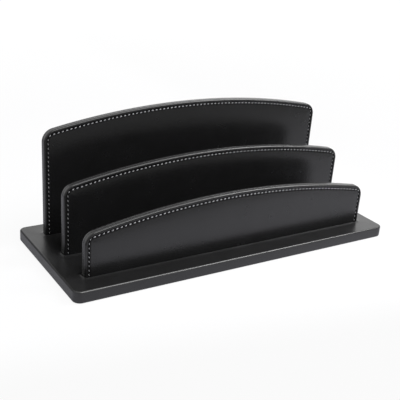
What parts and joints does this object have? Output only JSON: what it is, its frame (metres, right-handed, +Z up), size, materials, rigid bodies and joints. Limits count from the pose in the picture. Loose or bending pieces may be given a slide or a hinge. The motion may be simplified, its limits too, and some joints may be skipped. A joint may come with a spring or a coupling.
{
  "type": "document sorter",
  "caption": "Desk document sorter: flat covered base with upright stitched panels, stepped in height and arched on top, that hold letters and papers in open slots.",
  "frame": {"origin": "middle of the underside, on the surface it stands on", "axes": "+X along the panels, +Y from the low front panel to the tall back panel, +Z up"},
  "size_m": [0.3, 0.1216, 0.1129],
  "materials": {
    "leathercloth": "smooth black coated leathercloth, semi-gloss with a faint grain",
    "thread": "pale grey twisted polyester thread",
    "fibreboard": "raw medium-density fibreboard",
    "card": "grey board",
    "flock": "black flocked sheet, matt",
    "zinc_steel": "zinc-plated"
  },
  "bodies": {
    "root": {"base_board": "fibreboard", "base_cover": "leathercloth", "base_filler_card": "card", "base_lining": "flock", "front_panel_board": "fibreboard", "front_panel_face_cover": "leathercloth", "front_panel_rear_cover": "leathercloth", "front_panel_face_stitching": "thread", "front_panel_rear_stitching": "thread", "middle_panel_board": "fibreboard", "middle_panel_face_cover": "leathercloth", "middle_panel_rear_cover": "leathercloth", "middle_panel_face_stitching": "thread", "middle_panel_rear_stitching": "thread", "back_panel_board": "fibreboard", "back_panel_face_cover": "leathercloth", "back_panel_rear_cover": "leathercloth", "back_panel_face_stitching": "thread", "back_panel_rear_stitching": "thread", "panel_screws": "zinc_steel"}
  },
  "joints": []
}
